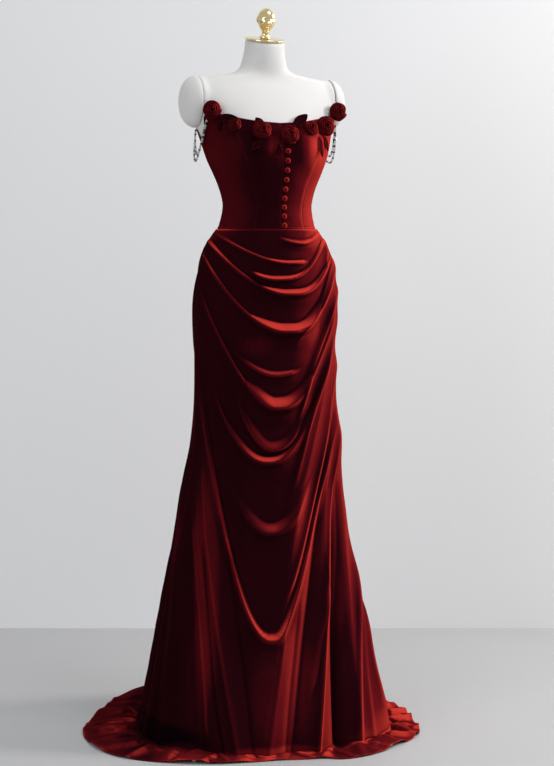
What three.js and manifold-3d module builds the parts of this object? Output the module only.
// A strapless velvet evening gown with a cowl-draped skirt and a short train, worn by a dress form.
// The bodice is cut in eight panels and trimmed with cloth roses, leaves, covered buttons and bead strands.
// Units are millimetres and +Z is up. The wearer's front faces -Y and the wearer's left is +X.
// The origin is the middle of the stand's foot, on the floor.
// "turn" is the angle round the body from centre front, positive towards the wearer's left.
import * as THREE from "three";
import Module from "manifold-3d";

const kernel = await Module();
kernel.setup();

// Driving sizes
const CLOTH = 2; // velvet with its backing
const EASE = 2; // bodice to dress form
const SEAM_GAP = 0.4; // between two panels that are sewn together
const SEAT_GAP = 0.3; // between two hard pieces that rest on each other
const WAIST_Z = 1205; // seam between bodice and skirt
const BEND = 34; // radius of the train's bend where it meets the floor
// Flat oval end of the shoulder, where an arm would start, and the height of its domed cap
const ARM = { x: 168, z: 1501, aft: 16, high: 61, deep: 57, bulge: 36 };
const LEG_REACH = 340; // stand's foot: from its middle to a leg's tip
const LEG_THICK = 8;
const LEG_TURN = -51; // the first leg, in degrees
const CHART_TURN = 22; // the drape is charted square to a line turned this far from centre front
const DEG = Math.PI / 180;

// Colours
const VELVET = new THREE.MeshStandardMaterial({ color: 0x5a0a10, roughness: 0.75, metalness: 0 });
const FORM_COVER = new THREE.MeshStandardMaterial({ color: 0xe8e4e2, roughness: 0.6, metalness: 0 });
const GILT = new THREE.MeshStandardMaterial({ color: 0xd9b65a, roughness: 0.2, metalness: 1 });
const CRYSTAL = new THREE.MeshStandardMaterial({ color: 0xd8dade, roughness: 0.1, metalness: 0.3 });

// Dress form: one row for each level. "half" is half the width, "front" and "back" are depths from the
// widest line, and "aft" is how far that line stands behind the origin.
const BODY = [
  { z: 845, half: 140, front: 92, back: 102, aft: 0 },
  { z: 859, half: 153, front: 102, back: 113, aft: 0 },
  { z: 919, half: 160, front: 107, back: 120, aft: 0 },
  { z: 1019, half: 163, front: 108, back: 123, aft: 0 },
  { z: 1079, half: 157, front: 104, back: 117, aft: -2 },
  { z: 1130, half: 143, front: 98, back: 107, aft: -5 },
  { z: 1170, half: 127, front: 92, back: 96, aft: -8 },
  { z: 1210, half: 112, front: 86, back: 87, aft: -11 },
  { z: 1255, half: 103, front: 82, back: 81, aft: -14 },
  { z: 1283, half: 107, front: 85, back: 83, aft: -15 },
  { z: 1310, half: 116, front: 91, back: 87, aft: -15 },
  { z: 1339, half: 129, front: 97, back: 92, aft: -14 },
  { z: 1366, half: 141, front: 101, back: 95, aft: -11 },
  { z: 1397, half: 151, front: 103, back: 97, aft: -6 },
  { z: 1426, half: 159, front: 102, back: 98, aft: 0 },
  { z: 1446, half: 166, front: 99, back: 97, aft: 5 },
  { z: 1472, half: 184, front: 93, back: 93, aft: 11 },
  { z: 1502, half: 202, front: 82, back: 86, aft: 15 },
  { z: 1530, half: 200, front: 68, back: 75, aft: 17 },
  { z: 1547, half: 184, front: 57, back: 64, aft: 17 },
  { z: 1557, half: 158, front: 52, back: 57, aft: 16 },
  { z: 1563, half: 112, front: 50, back: 53, aft: 15 },
  { z: 1570, half: 76, front: 49, back: 51, aft: 13 },
  { z: 1580, half: 59, front: 48, back: 50, aft: 10 },
  { z: 1598, half: 52, front: 47.5, back: 48.5, aft: 6 },
  { z: 1623, half: 47, front: 46.5, back: 46.5, aft: 2 },
  { z: 1647, half: 46, front: 46, back: 46, aft: 0 },
];
const BUST = { x: 66, z: 1393, wide: 44, high: 42, out: 12 };
const CUP_LIFT = 2.5; // how far a cup stands over the dress form's bust
const NECK_TILT = 12; // degrees that the neck's top leans forward
const NECK_START_Z = 1565;

// Bodice: height of its top edge, by turn in degrees, alike on both sides
const TOP_EDGE = [
  { turn: 0, z: 1448 },
  { turn: 20, z: 1453 },
  { turn: 42, z: 1466 },
  { turn: 56, z: 1474 },
  { turn: 68, z: 1460 },
  { turn: 82, z: 1424 },
  { turn: 92, z: 1418 },
  { turn: 106, z: 1438 },
  { turn: 120, z: 1454 },
  { turn: 150, z: 1440 },
  { turn: 180, z: 1430 },
];
// Seams between bodice panels on one side, with their turn at the top edge and at the waist
const BODICE_SEAMS = [
  { turnTop: 0, turnWaist: 0 },
  { turnTop: 40, turnWaist: 30 },
  { turnTop: 92, turnWaist: 92 },
  { turnTop: 134, turnWaist: 140 },
  { turnTop: 180, turnWaist: 180 },
];
const BODICE_PANELS = ["front", "side_front", "side_back", "back"];

// Skirt without its folds: the same columns as the dress form's
const SKIRT = [
  { z: 0, half: 294, front: 262, back: 330, aft: 0 },
  { z: 62, half: 284, front: 250, back: 315, aft: 2 },
  { z: 155, half: 265, front: 229, back: 288, aft: 10 },
  { z: 259, half: 246, front: 204, back: 258, aft: 18 },
  { z: 362, half: 227, front: 181, back: 230, aft: 24 },
  { z: 463, half: 209, front: 159, back: 203, aft: 24 },
  { z: 565, half: 193, front: 142, back: 178, aft: 20 },
  { z: 667, half: 180, front: 130, back: 158, aft: 13 },
  { z: 748, half: 172, front: 123, back: 146, aft: 8 },
  { z: 818, half: 170, front: 119, back: 138, aft: 4 },
  { z: 919, half: 171, front: 117, back: 133, aft: 1 },
  { z: 1019, half: 173, front: 118, back: 131, aft: 0 },
  { z: 1069, half: 170, front: 116, back: 127, aft: -2 },
  { z: 1120, half: 161, front: 111, back: 118, aft: -5 },
  { z: 1150, half: 152, front: 107, back: 111, aft: -6 },
  { z: 1180, half: 139, front: 101, back: 103, aft: -9 },
  { z: 1204.7, half: 122, front: 93, back: 93, aft: -11 },
];
// The hem's distance from the origin, by turn in degrees
const HEM = [
  { turn: -180, reach: 535 },
  { turn: -164, reach: 502 },
  { turn: -150, reach: 479 },
  { turn: -135, reach: 443 },
  { turn: -120, reach: 434 },
  { turn: -105, reach: 440 },
  { turn: -90, reach: 436 },
  { turn: -81, reach: 431 },
  { turn: -73, reach: 420 },
  { turn: -64, reach: 396 },
  { turn: -54, reach: 368 },
  { turn: -43, reach: 341 },
  { turn: -28, reach: 307 },
  { turn: -15, reach: 291 },
  { turn: -3, reach: 297 },
  { turn: 5, reach: 309 },
  { turn: 10, reach: 330 },
  { turn: 18, reach: 343 },
  { turn: 28, reach: 348 },
  { turn: 40, reach: 352 },
  { turn: 49, reach: 364 },
  { turn: 59, reach: 374 },
  { turn: 68, reach: 371 },
  { turn: 77, reach: 367 },
  { turn: 94, reach: 381 },
  { turn: 105, reach: 387 },
  { turn: 130, reach: 432 },
  { turn: 156, reach: 498 },
  { turn: 180, reach: 535 },
];
// The drape's hanging folds, charted by "across", to the viewer's right, and height. Each runs from its
// left end through its low point to its right end. "bend" is how hard each arm curves up, "out" is how far
// the fold stands out, "lip" is the width of its upper face and "fall" that of its lower face.
const SWAGS = [
  { lx: 30, lz: 1186, mx: 81, mz: 1170, rx: 128, rz: 1200, lbend: 1.6, rbend: 2, out: 8, lip: 9, fall: 24 },
  { lx: -120, lz: 1206, mx: 58, mz: 1124, rx: 108, rz: 1132, lbend: 1.6, rbend: 2, out: 10, lip: 12, fall: 34 },
  { lx: -34, lz: 1106, mx: 25, mz: 1086, rx: 139, rz: 1196, lbend: 1.7, rbend: 3, out: 11, lip: 14, fall: 30 },
  { lx: -133, lz: 1188, mx: 56, mz: 1051, rx: 143, rz: 1126, lbend: 1.65, rbend: 3, out: 13, lip: 18, fall: 50 },
  { lx: -130, lz: 1132, mx: 49, mz: 964, rx: 153, rz: 1150, lbend: 1.72, rbend: 2.9, out: 18, lip: 28, fall: 60 },
  { lx: -62, lz: 915, mx: 27, mz: 862, rx: 82, rz: 879, lbend: 1.7, rbend: 2, out: 7, lip: 18, fall: 30 },
  { lx: -136, lz: 1043, mx: 30, mz: 784, rx: 147, rz: 994, lbend: 1.53, rbend: 2.35, out: 18, lip: 30, fall: 55 },
  { lx: -68, lz: 818, mx: 30, mz: 679, rx: 90, rz: 763, lbend: 1.55, rbend: 2, out: 9, lip: 32, fall: 26 },
  { lx: -104, lz: 793, mx: 12, mz: 651, rx: 140, rz: 899, lbend: 2.05, rbend: 2.05, out: 15, lip: 30, fall: 60 },
  { lx: -66, lz: 571, mx: 15, mz: 479, rx: 102, rz: 601, lbend: 1.6, rbend: 2, out: 11, lip: 40, fall: 60 },
  { lx: -150, lz: 849, mx: 18, mz: 223, rx: 150, rz: 718, lbend: 1.95, rbend: 1.35, out: 16, lip: 26, fall: 60 },
];
// Folds that fall from the hip, charted the same way. "bow" pushes the middle across. A groove goes in.
const FALLS = [
  { tx: 160, tz: 1140, bx: 78, bz: 575, bow: 18, out: 9, wideTop: 12, wideFoot: 22 },
  { tx: 168, tz: 1019, bx: 117, bz: 0, bow: 14, out: 12, wideTop: 9, wideFoot: 26 },
  { tx: 172, tz: 979, bx: 218, bz: 0, bow: -12, out: 13, wideTop: 8, wideFoot: 24 },
  { tx: 196, tz: 494, bx: 252, bz: 0, bow: -4, out: 11, wideTop: 8, wideFoot: 16 },
  { tx: 214, tz: 341, bx: 290, bz: 0, bow: -4, out: 11, wideTop: 8, wideFoot: 16 },
  { tx: 158, tz: 718, bx: 173, bz: 0, bow: -4, out: -24, wideTop: 8, wideFoot: 15 },
  { tx: 140, tz: 657, bx: 78, bz: 124, bow: 0, out: -11, wideTop: 9, wideFoot: 15 },
  { tx: -160, tz: 637, bx: -84, bz: 0, bow: -12, out: 14, wideTop: 14, wideFoot: 34 },
  { tx: -178, tz: 738, bx: -236, bz: 0, bow: 2, out: 13, wideTop: 10, wideFoot: 20 },
  { tx: -176, tz: 575, bx: -166, bz: 0, bow: -4, out: -14, wideTop: 12, wideFoot: 30 },
];
// Folds of the flared back and sides, by turn: they deepen from "from" down to the floor
const GORES = [
  { turn: -92, from: 637, out: 10, wide: 6 },
  { turn: -112, from: 575, out: 6, wide: 7 },
  { turn: -131, from: 677, out: 20, wide: 7 },
  { turn: -152, from: 616, out: 26, wide: 8 },
  { turn: -173, from: 738, out: 22, wide: 7 },
  { turn: 67, from: 700, out: 9, wide: 9 },
  { turn: 84, from: 657, out: 16, wide: 6 },
  { turn: 103, from: 596, out: 22, wide: 7 },
  { turn: 124, from: 657, out: 24, wide: 7 },
  { turn: 145, from: 575, out: 22, wide: 8 },
  { turn: 166, from: 718, out: 24, wide: 7 },
];
// Ridges of the train where it lies on the floor, by turn
const RIPPLES = [
  { turn: -158, high: 12, wide: 7 },
  { turn: -128, high: 13, wide: 6 },
  { turn: -106, high: 14, wide: 5 },
  { turn: -84, high: 11, wide: 6 },
  { turn: -30, high: 7, wide: 5 },
  { turn: 6, high: 6, wide: 4 },
  { turn: 58, high: 12, wide: 5 },
  { turn: 78, high: 14, wide: 5 },
  { turn: 98, high: 12, wide: 4 },
  { turn: 122, high: 13, wide: 6 },
  { turn: 152, high: 14, wide: 7 },
];
const SIDE_SEAM_Y = 6; // the skirt's side seams lie in an upright plane here
// Seam between the draped front and the side front, hidden in the deep fold
const DRAPE_SEAM = [
  { z: 0, turn: 15 },
  { z: 207, turn: 20 },
  { z: 412, turn: 27 },
  { z: 616, turn: 38 },
  { z: 818, turn: 48 },
  { z: 1019, turn: 54 },
  { z: 1205, turn: 56 },
];

// Trim on the bodice: roses and leaves by turn and height, from the wearer's right to left. "lift" is how far
// the middle of the foot stands off the cloth, and "front" how far a rose is turned from square on the cloth
// towards straight ahead.
const ROSES = [
  { turn: -51, z: 1479, size: 20, lift: 3.3, front: 0.3 },
  { turn: -39, z: 1440, size: 15, lift: 1.7, front: 0 },
  { turn: -18, z: 1427, size: 20, lift: 0.2, front: 0 },
  { turn: 5, z: 1419, size: 22, lift: 1.2, front: 0 },
  { turn: 25, z: 1435, size: 18, lift: 0.7, front: 0 },
  { turn: 42, z: 1442, size: 21, lift: 3.4, front: 0.2 },
  { turn: 54, z: 1482, size: 20, lift: 6, front: 0.6 },
];
// "point" is the leaf's direction, in degrees clockwise from straight up, as seen from outside
const LEAVES = [
  { turn: 10, z: 1441, lift: 0.5, point: 52, long: 46, wide: 22 },
  { turn: -21, z: 1405, lift: 0, point: 222, long: 30, wide: 14 },
  { turn: -3, z: 1397, lift: 0.4, point: 205, long: 34, wide: 17 },
  { turn: 36, z: 1418, lift: 0.4, point: 190, long: 50, wide: 18 },
  { turn: -48, z: 1452, lift: 0.7, point: 200, long: 24, wide: 14 },
  { turn: 46, z: 1420, lift: 0.2, point: 170, long: 34, wide: 15 },
];
const BUTTONS = { count: 9, topZ: 1383, pitch: 21.4, turn: 3.2, radius: 6.6, high: 4, lift: 0.65 };
// Bead strands under each arm: they hang from the front corner of the bodice to its back edge
const STRAND = { frontTurn: 67, backTurn: 113, drop: 9, size: 4.6 };
const STRANDS = [
  { name: "outer", low: 1355, swing: 14, spread: 4, standOff: 3.6 },
  { name: "inner", low: 1373, swing: 7, spread: -4, standOff: 4.7 },
];

// Stand and neck fittings
const POLE_R = 16;
const HUB = { radius: 42, thick: 4, bevel: 1 };
const NECK_PLATE = { radius: 47.5, thick: 4 };
const STEM = { foot: 13, waist: 8.5, top: 9.5, high: 18 };
const HEAD = { wide: 22.5, deep: 24, high: 28 };

// Reads one column of a table between its rows, on a smooth curve through them
function read(table, by, at, column) {
  const last = table.length - 1;
  const place = Math.min(Math.max(at, table[0][by]), table[last][by]);
  let i = 0;
  while (i < last - 1 && place > table[i + 1][by]) i += 1;
  const slope = (k) => {
    const low = table[Math.max(k - 1, 0)];
    const high = table[Math.min(k + 1, last)];
    return (high[column] - low[column]) / (high[by] - low[by]);
  };
  const step = table[i + 1][by] - table[i][by];
  const t = (place - table[i][by]) / step;
  const rise = table[i + 1][column] - table[i][column];
  const a = slope(i) * step - rise;
  const b = rise - slope(i + 1) * step;
  return table[i][column] + t * rise + t * (1 - t) * (a * (1 - t) + b * t);
}

function smooth(t) {
  const s = Math.min(Math.max(t, 0), 1);
  return s * s * (3 - 2 * s);
}

function bell(distance, wide) {
  return Math.exp(-((distance / wide) ** 2));
}

// The way round from one turn to another, in degrees
function apart(a, b) {
  return ((((a - b + 180) % 360) + 360) % 360) - 180;
}

// A point of a table's level, and the level's outward direction there
function levelPoint(table, z, turn, square = 0.94) {
  const half = read(table, "z", z, "half");
  const depth = read(table, "z", z, Math.abs(turn) < Math.PI / 2 ? "front" : "back");
  const s = Math.sin(turn);
  const c = Math.cos(turn);
  const x = half * Math.sign(s) * Math.abs(s) ** square;
  const y = read(table, "z", z, "aft") - depth * Math.sign(c) * Math.abs(c) ** square;
  return new THREE.Vector3(x, y, z);
}

function levelOut(table, z, turn) {
  const half = read(table, "z", z, "half");
  const depth = read(table, "z", z, Math.abs(turn) < Math.PI / 2 ? "front" : "back");
  return new THREE.Vector3(Math.sin(turn) / half, -Math.cos(turn) / depth, 0).normalize();
}

// The dress form's surface
function bodyPoint(z, turn, cup = 0) {
  const p = levelPoint(BODY, z, turn);
  const facing = smooth(-p.y / 60);
  for (const side of [-1, 1]) {
    const lift = bell(p.x - side * BUST.x, BUST.wide) * bell(z - BUST.z, BUST.high);
    p.y -= (BUST.out + cup) * lift * facing;
  }
  p.z += p.y * Math.tan(NECK_TILT * DEG) * smooth((z - NECK_START_Z) / 60);
  return p;
}

function bodyOut(z, turn) {
  const step = 0.01;
  const along = bodyPoint(z, turn + step).sub(bodyPoint(z, turn - step));
  const down = bodyPoint(z - 2, turn).sub(bodyPoint(z + 2, turn));
  return down.cross(along).normalize();
}

// The bodice's outer face
function bodicePoint(z, turn, off = 0) {
  return bodyPoint(z, turn, CUP_LIFT).addScaledVector(bodyOut(z, turn), EASE + CLOTH + off);
}

// Height of the drape's folds over the plain skirt, at a place on the chart
function drapeHeight(across, z) {
  let high = 0;
  for (const f of SWAGS) {
    const left = across < f.mx;
    const span = left ? f.mx - f.lx : f.rx - f.mx;
    const t = Math.abs(across - f.mx) / span;
    if (t >= 1.12) continue;
    const bend = left ? f.lbend : f.rbend;
    const rise = (left ? f.lz : f.rz) - f.mz;
    const ridge = f.mz + rise * t ** bend;
    const slope = (rise * bend * t ** (bend - 1)) / span;
    const below = (ridge - z) / Math.hypot(1, slope);
    const taper = 1 - smooth((t - 0.55) / 0.57) * 0.85;
    const lip = f.lip * (1 - 0.55 * smooth(t));
    const shape = below < 0 ? smooth(1 + below / lip) : 1 - smooth(below / f.fall);
    high = Math.max(high, f.out * taper * shape) + 0.35 * Math.min(high, f.out * taper * shape);
  }
  for (const f of FALLS) {
    const t = (f.tz - z) / (f.tz - f.bz);
    if (t < 0) continue;
    const line = f.tx + (f.bx - f.tx) * t + 4 * f.bow * t * (1 - Math.min(t, 1));
    const wide = f.wideTop + (f.wideFoot - f.wideTop) * t;
    high += f.out * smooth(t * 3) * bell(across - line, wide);
  }
  return high;
}

const CHART_COS = Math.cos(CHART_TURN * DEG);
const CHART_SIN = Math.sin(CHART_TURN * DEG);

// The skirt's hanging wall, with its folds
function hangPoint(z, turn) {
  const p = levelPoint(SKIRT, z, turn);
  const out = levelOut(SKIRT, z, turn);
  const across = p.x * CHART_COS - p.y * CHART_SIN;
  const facing = -(out.x * CHART_SIN + out.y * CHART_COS);
  let high = drapeHeight(across, z) * smooth((facing + 0.05) / 0.4);
  for (const g of GORES) {
    const deep = smooth((g.from - z) / g.from);
    high += g.out * deep * bell(apart(turn / DEG, g.turn), g.wide);
  }
  const hold = smooth((WAIST_Z - z) / 30);
  return p.addScaledVector(out, high * (0.15 + 0.85 * hold));
}

// Lifts the cloth over the stand's legs
function clearLegs(p) {
  for (let k = 0; k < 4; k += 1) {
    const turn = (LEG_TURN + 90 * k) * DEG;
    const along = p.x * Math.sin(turn) - p.y * Math.cos(turn);
    const beside = Math.abs(p.x * Math.cos(turn) + p.y * Math.sin(turn));
    const near = (1 - smooth((beside - 24) / 34)) * (1 - smooth((along - LEG_REACH - 16) / 40));
    if (along > 0) p.z = Math.max(p.z, (LEG_THICK + CLOTH + 1.2) * near);
  }
  return p;
}

// The skirt's outer face. "drop" runs from 0 at the waist to 1 at the bend, and on to 2 at the hem.
function skirtPoint(turn, drop) {
  const reach = read(HEM, "turn", turn / DEG, "reach");
  const hem = new THREE.Vector3(Math.sin(turn) * reach, -Math.cos(turn) * reach, 0);
  const foot = hangPoint(BEND, turn);
  const lies = Math.max(Math.hypot(hem.x - foot.x, hem.y - foot.y), 10);
  const bend = Math.min(BEND, 0.6 * lies);
  const bendZ = bend + CLOTH;
  const top = WAIST_Z - SEAM_GAP;
  if (drop <= 1) return hangPoint(top - drop * (top - bendZ), turn);
  const start = hangPoint(bendZ, turn);
  const run = Math.hypot(hem.x - start.x, hem.y - start.y);
  const out = new THREE.Vector3(hem.x - start.x, hem.y - start.y, 0).divideScalar(run);
  const arc = (Math.PI / 2) * bend;
  const s = (drop - 1) * (arc + Math.max(run - bend, 2));
  const a = Math.min(s / bend, Math.PI / 2);
  const across = bend * (1 - Math.cos(a)) + Math.max(s - arc, 0);
  const p = start.addScaledVector(out, across);
  p.z = bendZ - bend * Math.sin(a);
  const flat = smooth((drop - 1.05) / 0.35) * smooth(run / 60);
  for (const r of RIPPLES) {
    const settle = 1 - 0.45 * smooth((drop - 1.5) * 2);
    p.z += r.high * flat * settle * bell(apart(turn / DEG, r.turn), r.wide);
  }
  return clearLegs(p);
}

// A mesh from points and triangles
function meshOf(name, points, faces, material) {
  const geometry = new THREE.BufferGeometry().setFromPoints(points);
  geometry.setIndex(faces.flat());
  geometry.computeVertexNormals();
  const mesh = new THREE.Mesh(geometry, material);
  mesh.name = name;
  return mesh;
}

// A wall of cloth. place(u, v) gives its outer face, u along the turn and v downwards, and the inner face
// lies CLOTH behind it. It never goes below the floor. trim(p, u) brings an edge onto its seam.
function clothWall(name, place, us, vs, trim = (p) => p) {
  const step = 0.02;
  const outer = vs.flatMap((v) => us.map((u) => trim(place(u, v), u)));
  const inner = vs.flatMap((v) =>
    us.map((u) => {
      const along = place(u + step, v).sub(place(u - step, v)).multiplyScalar(Math.sign(us.at(-1) - us[0]));
      const down = place(u, Math.min(v + step, vs.at(-1))).sub(place(u, Math.max(v - step, 0)));
      const back = place(u, v).addScaledVector(down.cross(along).normalize(), -CLOTH);
      back.z = Math.max(back.z, 0);
      return trim(back, u);
    }),
  );
  const cols = us.length;
  const rows = vs.length;
  const at = (j, i) => j * cols + i;
  const n = rows * cols;
  const faces = [];
  const mirrored = us.at(-1) < us[0];
  const quad = (a, b, c, d) => faces.push([a, b, c], [a, c, d]);
  const cell = (a, b, c, d) => (mirrored ? quad(b, c, d, a) : quad(a, b, c, d));
  for (let j = 0; j < rows - 1; j += 1) {
    for (let i = 0; i < cols - 1; i += 1) {
      cell(at(j, i), at(j + 1, i), at(j + 1, i + 1), at(j, i + 1));
      cell(n + at(j, i), n + at(j, i + 1), n + at(j + 1, i + 1), n + at(j + 1, i));
    }
    quad(at(j, 0), n + at(j, 0), n + at(j + 1, 0), at(j + 1, 0));
    quad(at(j, cols - 1), at(j + 1, cols - 1), n + at(j + 1, cols - 1), n + at(j, cols - 1));
  }
  for (let i = 0; i < cols - 1; i += 1) {
    quad(at(0, i), at(0, i + 1), n + at(0, i + 1), n + at(0, i));
    quad(at(rows - 1, i), n + at(rows - 1, i), n + at(rows - 1, i + 1), at(rows - 1, i + 1));
  }
  return meshOf(name, [...outer, ...inner], faces, VELVET);
}

// A closed skin over a stack of rings with equal counts, capped at both ends, the first one lowest
function loft(name, rings, material) {
  const count = rings[0].length;
  const points = rings.flat();
  const faces = [];
  for (let j = 0; j < rings.length - 1; j += 1) {
    for (let i = 0; i < count; i += 1) {
      const k = (i + 1) % count;
      const a = j * count;
      faces.push([a + i, a + k, a + count + k], [a + i, a + count + k, a + count + i]);
    }
  }
  const middle = (ring) => ring.reduce((s, p) => s.add(p), new THREE.Vector3()).divideScalar(count);
  const low = points.push(middle(rings[0])) - 1;
  const high = points.push(middle(rings.at(-1))) - 1;
  const top = (rings.length - 1) * count;
  for (let i = 0; i < count; i += 1) {
    const k = (i + 1) % count;
    faces.push([low, k, i], [high, top + i, top + k]);
  }
  return meshOf(name, points, faces, material);
}

function span(from, to, steps) {
  return Array.from({ length: steps + 1 }, (_, i) => from + ((to - from) * i) / steps);
}

// Dress form
const BODY_SIDES = 28;
const BODY_LEVELS = [
  845, 851, 864, 899, 959, 1019, 1069, 1110, 1145, 1175, 1205, 1232, 1259, 1287, 1313, 1338, 1362,
  1387, 1412, 1436, 1456, 1478, 1502, 1525, 1543, 1555, 1562, 1569, 1578, 1596, 1621, 1647,
];

// A mesh as a manifold solid, and back
function toSolid(mesh) {
  const points = mesh.geometry.getAttribute("position").array;
  const triVerts = new Uint32Array(mesh.geometry.index.array);
  return new kernel.Manifold(new kernel.Mesh({ numProp: 3, vertProperties: points, triVerts }));
}

function fromSolid(name, solid, material) {
  const { numProp, vertProperties, triVerts } = solid.getMesh();
  const points = [];
  for (let i = 0; i < vertProperties.length; i += numProp) {
    points.push(new THREE.Vector3(...vertProperties.slice(i, i + 3)));
  }
  return meshOf(name, points, [Array.from(triVerts)], material);
}

// An upright oval of points, square to the shoulders, "side" being -1 for the wearer's right
function armOval(side, x, size, sides = 20) {
  return span(0, 2 * Math.PI, sides)
    .slice(0, -1)
    .map((u) => {
      const y = ARM.aft + ARM.deep * size * Math.cos(side * u);
      return new THREE.Vector3(side * x, y, ARM.z + ARM.high * size * Math.sin(side * u));
    });
}

// The dress form's torso, whose shoulders grow into flat oval ends
function formTorso() {
  const rings = BODY_LEVELS.map((z) =>
    span(0, 2 * Math.PI, BODY_SIDES)
      .slice(0, -1)
      .map((t) => bodyPoint(z, t > Math.PI ? t - 2 * Math.PI : t)),
  );
  const inside = ARM.x - 6;
  let torso = toSolid(loft("form", rings, FORM_COVER));
  torso = torso.trimByPlane([-1, 0, 0], -inside).trimByPlane([1, 0, 0], -inside);
  for (const side of [-1, 1]) {
    const shoulder = loft("shoulder", [armOval(side, ARM.x - 70, 0.72), armOval(side, ARM.x, 1)], FORM_COVER);
    torso = torso.add(toSolid(shoulder));
  }
  return fromSolid("form_torso", torso, FORM_COVER);
}

// The rounded end of a shoulder, a shallow dome
function armCap(name, side) {
  const rings = span(0, 1, 5).map((t) => {
    const a = (t * Math.PI) / 2;
    return armOval(side, ARM.x + SEAM_GAP + ARM.bulge * Math.sin(a), Math.max(Math.cos(a), 0.08) ** 0.8);
  });
  return loft(name, rings, FORM_COVER);
}

// Turned pieces stand on +Z
function turned(name, profile, sides, material) {
  const geometry = new THREE.LatheGeometry(
    profile.map(([r, h]) => new THREE.Vector2(r, h)),
    sides,
  );
  geometry.rotateX(Math.PI / 2);
  const mesh = new THREE.Mesh(geometry, material);
  mesh.name = name;
  return mesh;
}

function neckFittings() {
  const group = new THREE.Group();
  const neck = BODY.at(-1);
  group.position.set(0, neck.aft, neck.z);
  group.rotation.x = NECK_TILT * DEG;
  const { radius: r, thick: t } = NECK_PLATE;
  const plate = turned("neck_plate", [[0, 0], [r - 1, 0], [r, 1], [r, t - 1], [r - 1, t], [0, t]], 28, GILT);
  plate.position.z = SEAT_GAP;
  const stemZ = SEAT_GAP + t + SEAT_GAP;
  const { foot, waist, top, high } = STEM;
  const stem = turned(
    "finial_stem",
    [[0, 0], [foot, 0], [foot, 6], [waist, 9], [waist, high - 3], [top, high], [0, high]],
    18,
    GILT,
  );
  stem.position.z = stemZ;
  const head = finialHead();
  head.position.z = stemZ + high + SEAT_GAP;
  group.add(plate, stem, head);
  return group;
}

// The finial is a small plain head: an egg with a brow, a nose, a mouth line and ears
function finialHead() {
  const rings = span(0, 1, 11).map((t) => {
    const polar = -Math.PI / 2 + Math.PI * (0.16 + 0.82 * t);
    const h = HEAD.high * (Math.sin(polar) + 1) - HEAD.high * (Math.sin(-Math.PI * 0.34) + 1);
    const level = h / (2 * HEAD.high);
    return span(0, 2 * Math.PI, 20)
      .slice(0, -1)
      .map((a) => {
        const jaw = 1 - 0.16 * smooth((0.42 - level) / 0.4);
        const front = Math.max(-Math.cos(a), 0) ** 6;
        const nose = 4.5 * bell(level - 0.4, 0.09) * Math.max(-Math.cos(a), 0) ** 40;
        const eyes = -1.6 * bell(level - 0.5, 0.07) * bell(Math.abs(Math.sin(a)) - 0.42, 0.2) * front ** 0.2;
        const ears = 2.6 * bell(level - 0.44, 0.12) * bell(Math.cos(a), 0.2);
        const r = Math.cos(polar) * jaw;
        const extra = (-Math.cos(a) > 0 ? nose + eyes : 0) + ears;
        return new THREE.Vector3(
          Math.sin(a) * (HEAD.wide * r + extra),
          Math.cos(a) * (HEAD.deep * r + extra),
          h,
        );
      });
  });
  return loft("finial_head", rings.map((ring) => ring.reverse()), GILT);
}

// Stand: a pole under the torso, on a flat foot with four legs
function stand() {
  const top = BODY[0].z - SEAT_GAP;
  const hubFoot = LEG_THICK + SEAT_GAP;
  const hubTop = hubFoot + HUB.thick;
  const foot = hubTop + SEAT_GAP;
  const pole = turned("stand_pole", [[0, foot], [POLE_R, foot], [POLE_R, top], [0, top]], 24, GILT);
  const outline = [];
  for (let k = 0; k < 4; k += 1) {
    const turn = (LEG_TURN + 90 * k) * DEG;
    const dir = new THREE.Vector2(Math.sin(turn), -Math.cos(turn));
    const side = new THREE.Vector2(-dir.y, dir.x);
    const put = (along, beside) => outline.push(dir.clone().multiplyScalar(along).addScaledVector(side, beside));
    put(46, -15);
    put(LEG_REACH - 6, -7);
    put(LEG_REACH - 2, -5);
    put(LEG_REACH, 0);
    put(LEG_REACH - 2, 5);
    put(LEG_REACH - 6, 7);
    put(46, 15);
  }
  const legs = new THREE.ExtrudeGeometry(new THREE.Shape(outline), { depth: LEG_THICK, bevelEnabled: false });
  const base = new THREE.Mesh(legs, GILT);
  base.name = "stand_legs";
  const hubEdge = hubTop - HUB.bevel;
  const rim = HUB.radius - HUB.bevel;
  const hubProfile = [[0, hubFoot], [HUB.radius, hubFoot], [HUB.radius, hubEdge], [rim, hubTop], [0, hubTop]];
  const hub = turned("stand_hub", hubProfile, 24, GILT);
  return [pole, base, hub];
}

// Bodice panels
function bodice() {
  const meshes = [];
  const rows = span(0, 1, 10);
  for (const [label, side] of [["right", -1], ["left", 1]]) {
    BODICE_PANELS.forEach((panel, k) => {
      const [from, to] = [BODICE_SEAMS[k], BODICE_SEAMS[k + 1]];
      const place = (u, v) => {
        const ease = SEAM_GAP / 2 / 105;
        const edge = (seam) => seam.turnTop + (seam.turnWaist - seam.turnTop) * smooth(v);
        const turn = (edge(from) * (1 - u) + edge(to) * u) * DEG + ease * (1 - 2 * u);
        const top = read(TOP_EDGE, "turn", turn / DEG, "z");
        return bodicePoint(top + (WAIST_Z - top) * v, side * turn);
      };
      const steps = [5, 6, 5, 5][k];
      const us = span(0, 1, steps);
      if (side < 0) us.reverse();
      meshes.push(clothWall(`bodice_${panel}_${label}`, place, us, rows));
    });
  }
  return meshes;
}

// The turn at which the skirt crosses its side seam's upright plane
function sideTurn(side, drop) {
  let [near, far] = [60, 120];
  for (let k = 0; k < 16; k += 1) {
    const middle = (near + far) / 2;
    if (skirtPoint(side * middle * DEG, drop).y < SIDE_SEAM_Y) near = middle;
    else far = middle;
  }
  return side * near * DEG;
}

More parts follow.
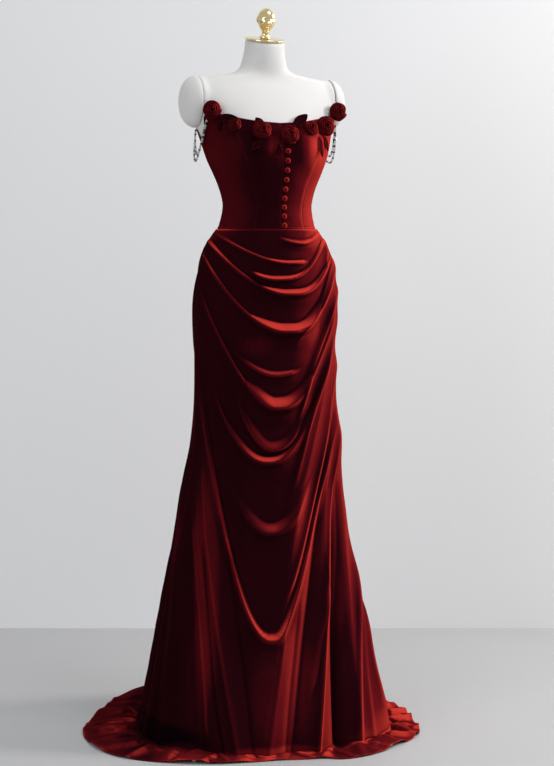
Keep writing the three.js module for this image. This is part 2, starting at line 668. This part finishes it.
// Skirt panels
function skirt() {
  const fine = [...span(0, 0.5, 27), ...span(0.5, 1, 10).slice(1), 1.08, 1.22, 1.45, 1.72, 2];
  const coarse = [...span(0, 1, 14), 1.1, 1.25, 1.5, 1.75, 2];
  const half = SEAM_GAP / 2;
  const drapeTurn = (v) => read(DRAPE_SEAM, "z", WAIST_Z * (1 - Math.min(v, 1)), "turn") * DEG;
  const known = new Map();
  const seamTurn = (side) => (v) => {
    const key = `${side} ${v}`;
    if (!known.has(key)) known.set(key, sideTurn(side, v));
    return known.get(key);
  };
  const toPlane = (edge, axis, value) => (p, u) => (u === edge ? p.setComponent(axis, value) : p);
  const panel = (name, from, to, steps, rows, trim) =>
    clothWall(name, (u, v) => skirtPoint(from(v) * (1 - u) + to(v) * u, v), span(0, 1, steps), rows, trim);
  const shifted = (turn, by) => (v) => turn(v) + by / 170;
  const [right, left] = [seamTurn(-1), seamTurn(1)];
  const back = (degrees) => () => degrees * DEG;
  const backLeftTrim = (p, u) => toPlane(1, 0, half)(toPlane(0, 1, SIDE_SEAM_Y + half)(p, u), u);
  const backRightTrim = (p, u) => toPlane(0, 0, -half)(toPlane(1, 1, SIDE_SEAM_Y + half)(p, u), u);
  return [
    panel("skirt_front_drape", right, shifted(drapeTurn, -half), 24, fine, toPlane(0, 1, SIDE_SEAM_Y - half)),
    panel("skirt_side_front", shifted(drapeTurn, half), left, 9, fine, toPlane(1, 1, SIDE_SEAM_Y - half)),
    panel("skirt_back_left", left, back(180), 11, coarse, backLeftTrim),
    panel("skirt_back_right", back(-180), right, 11, coarse, backRightTrim),
  ];
}

// Puts a piece that is built on its own XY plane onto the bodice, its +Z outwards and its +Y up
function onBodice(mesh, { turn, z, lift, front = 0 }) {
  const p = bodicePoint(z, turn * DEG, lift);
  const out = bodyOut(z, turn * DEG).lerp(new THREE.Vector3(0, -1, 0), front).normalize();
  const right = new THREE.Vector3(0, 0, 1).cross(out).normalize();
  const up = out.clone().cross(right);
  mesh.applyMatrix4(new THREE.Matrix4().makeBasis(right, up, out).setPosition(p));
  return mesh;
}

// A cloth rose: a low dome whose rolled layers wind inwards to its heart
function rose(name, size) {
  const turns = 2.5;
  const rings = [[1, 0], [1.02, 0.3], [0.9, 0.56], [0.66, 0.68], [0.42, 0.78], [0.18, 0.74]];
  const skins = rings.map(([r, h], j) =>
    span(0, 2 * Math.PI, 14)
      .slice(0, -1)
      .map((a) => {
        const wave = ((((a / (2 * Math.PI) + r * turns) % 1) + 1) % 1) * (j > 1 ? 1 : 0);
        const petal = j > 0 ? 1 + 0.05 * Math.cos(5 * a) : 1;
        const radius = size * r * petal;
        return new THREE.Vector3(Math.cos(a) * radius, Math.sin(a) * radius, size * (h - 0.14 * wave));
      }),
  );
  return loft(name, skins, VELVET);
}

// A cloth leaf, pointed at its far end, with a fold along its middle
function leaf(name, { long, wide, point }) {
  const half = wide / 2;
  const mesh = clothWall(
    name,
    (u, v) => {
      const across = half * Math.sin(Math.PI * Math.min(0.1 + 0.9 * v, 0.985)) ** 0.8;
      return new THREE.Vector3((2 * u - 1) * across, long * v, CLOTH + 1.6 * (1 - Math.abs(2 * u - 1)));
    },
    [1, 0.5, 0],
    span(0, 1, 6),
  );
  mesh.geometry.rotateZ(-point * DEG);
  return mesh;
}

function trim() {
  const meshes = ROSES.map((r, k) => onBodice(rose(`rose_${k + 1}`, r.size), r));
  LEAVES.forEach((l, k) => meshes.push(onBodice(leaf(`leaf_${k + 1}`, l), l)));
  const { radius: r, high: h } = BUTTONS;
  for (let k = 0; k < BUTTONS.count; k += 1) {
    const profile = [[0, 0], [r * 0.75, 0], [r, h * 0.45], [r * 0.7, h * 0.9], [0, h]];
    const button = turned(`button_${k + 1}`, profile, 10, VELVET);
    meshes.push(onBodice(button, { ...BUTTONS, z: BUTTONS.topZ - BUTTONS.pitch * k }));
  }
  return meshes;
}

// The line of a bead strand, which hangs in a loop clear of the bodice
function strandLine(side, strand) {
  const end = (turn) => {
    const z = read(TOP_EDGE, "turn", turn, "z") - STRAND.drop;
    return bodicePoint(z, side * turn * DEG, strand.standOff);
  };
  const front = end(STRAND.frontTurn - strand.spread);
  const back = end(STRAND.backTurn + strand.spread);
  return span(0, 1, 14).map((t) => {
    const p = front.clone().lerp(back, t);
    const hang = Math.sin(Math.PI * t) ** 0.75;
    p.z += (strand.low - Math.min(front.z, back.z)) * hang;
    p.x += side * strand.swing * hang;
    return p;
  });
}

function beadStrands() {
  const r = STRAND.size / 2;
  const section = new THREE.Shape(
    span(0, 2 * Math.PI, 8)
      .slice(0, -1)
      .map((a) => new THREE.Vector2(Math.cos(a) * r, Math.sin(a) * r)),
  );
  const meshes = [];
  for (const [label, side] of [["right", -1], ["left", 1]]) {
    for (const strand of STRANDS) {
      const path = new THREE.CatmullRomCurve3(strandLine(side, strand));
      const tube = new THREE.ExtrudeGeometry(section, { steps: 14, extrudePath: path });
      const mesh = new THREE.Mesh(tube, CRYSTAL);
      mesh.name = `bead_strand_${label}_${strand.name}`;
      meshes.push(mesh);
    }
  }
  return meshes;
}

const gown = new THREE.Group();
gown.add(formTorso(), armCap("form_arm_cap_right", -1), armCap("form_arm_cap_left", 1));
gown.add(neckFittings(), ...stand());
gown.add(...bodice(), ...skirt(), ...trim(), ...beadStrands());

export default gown;
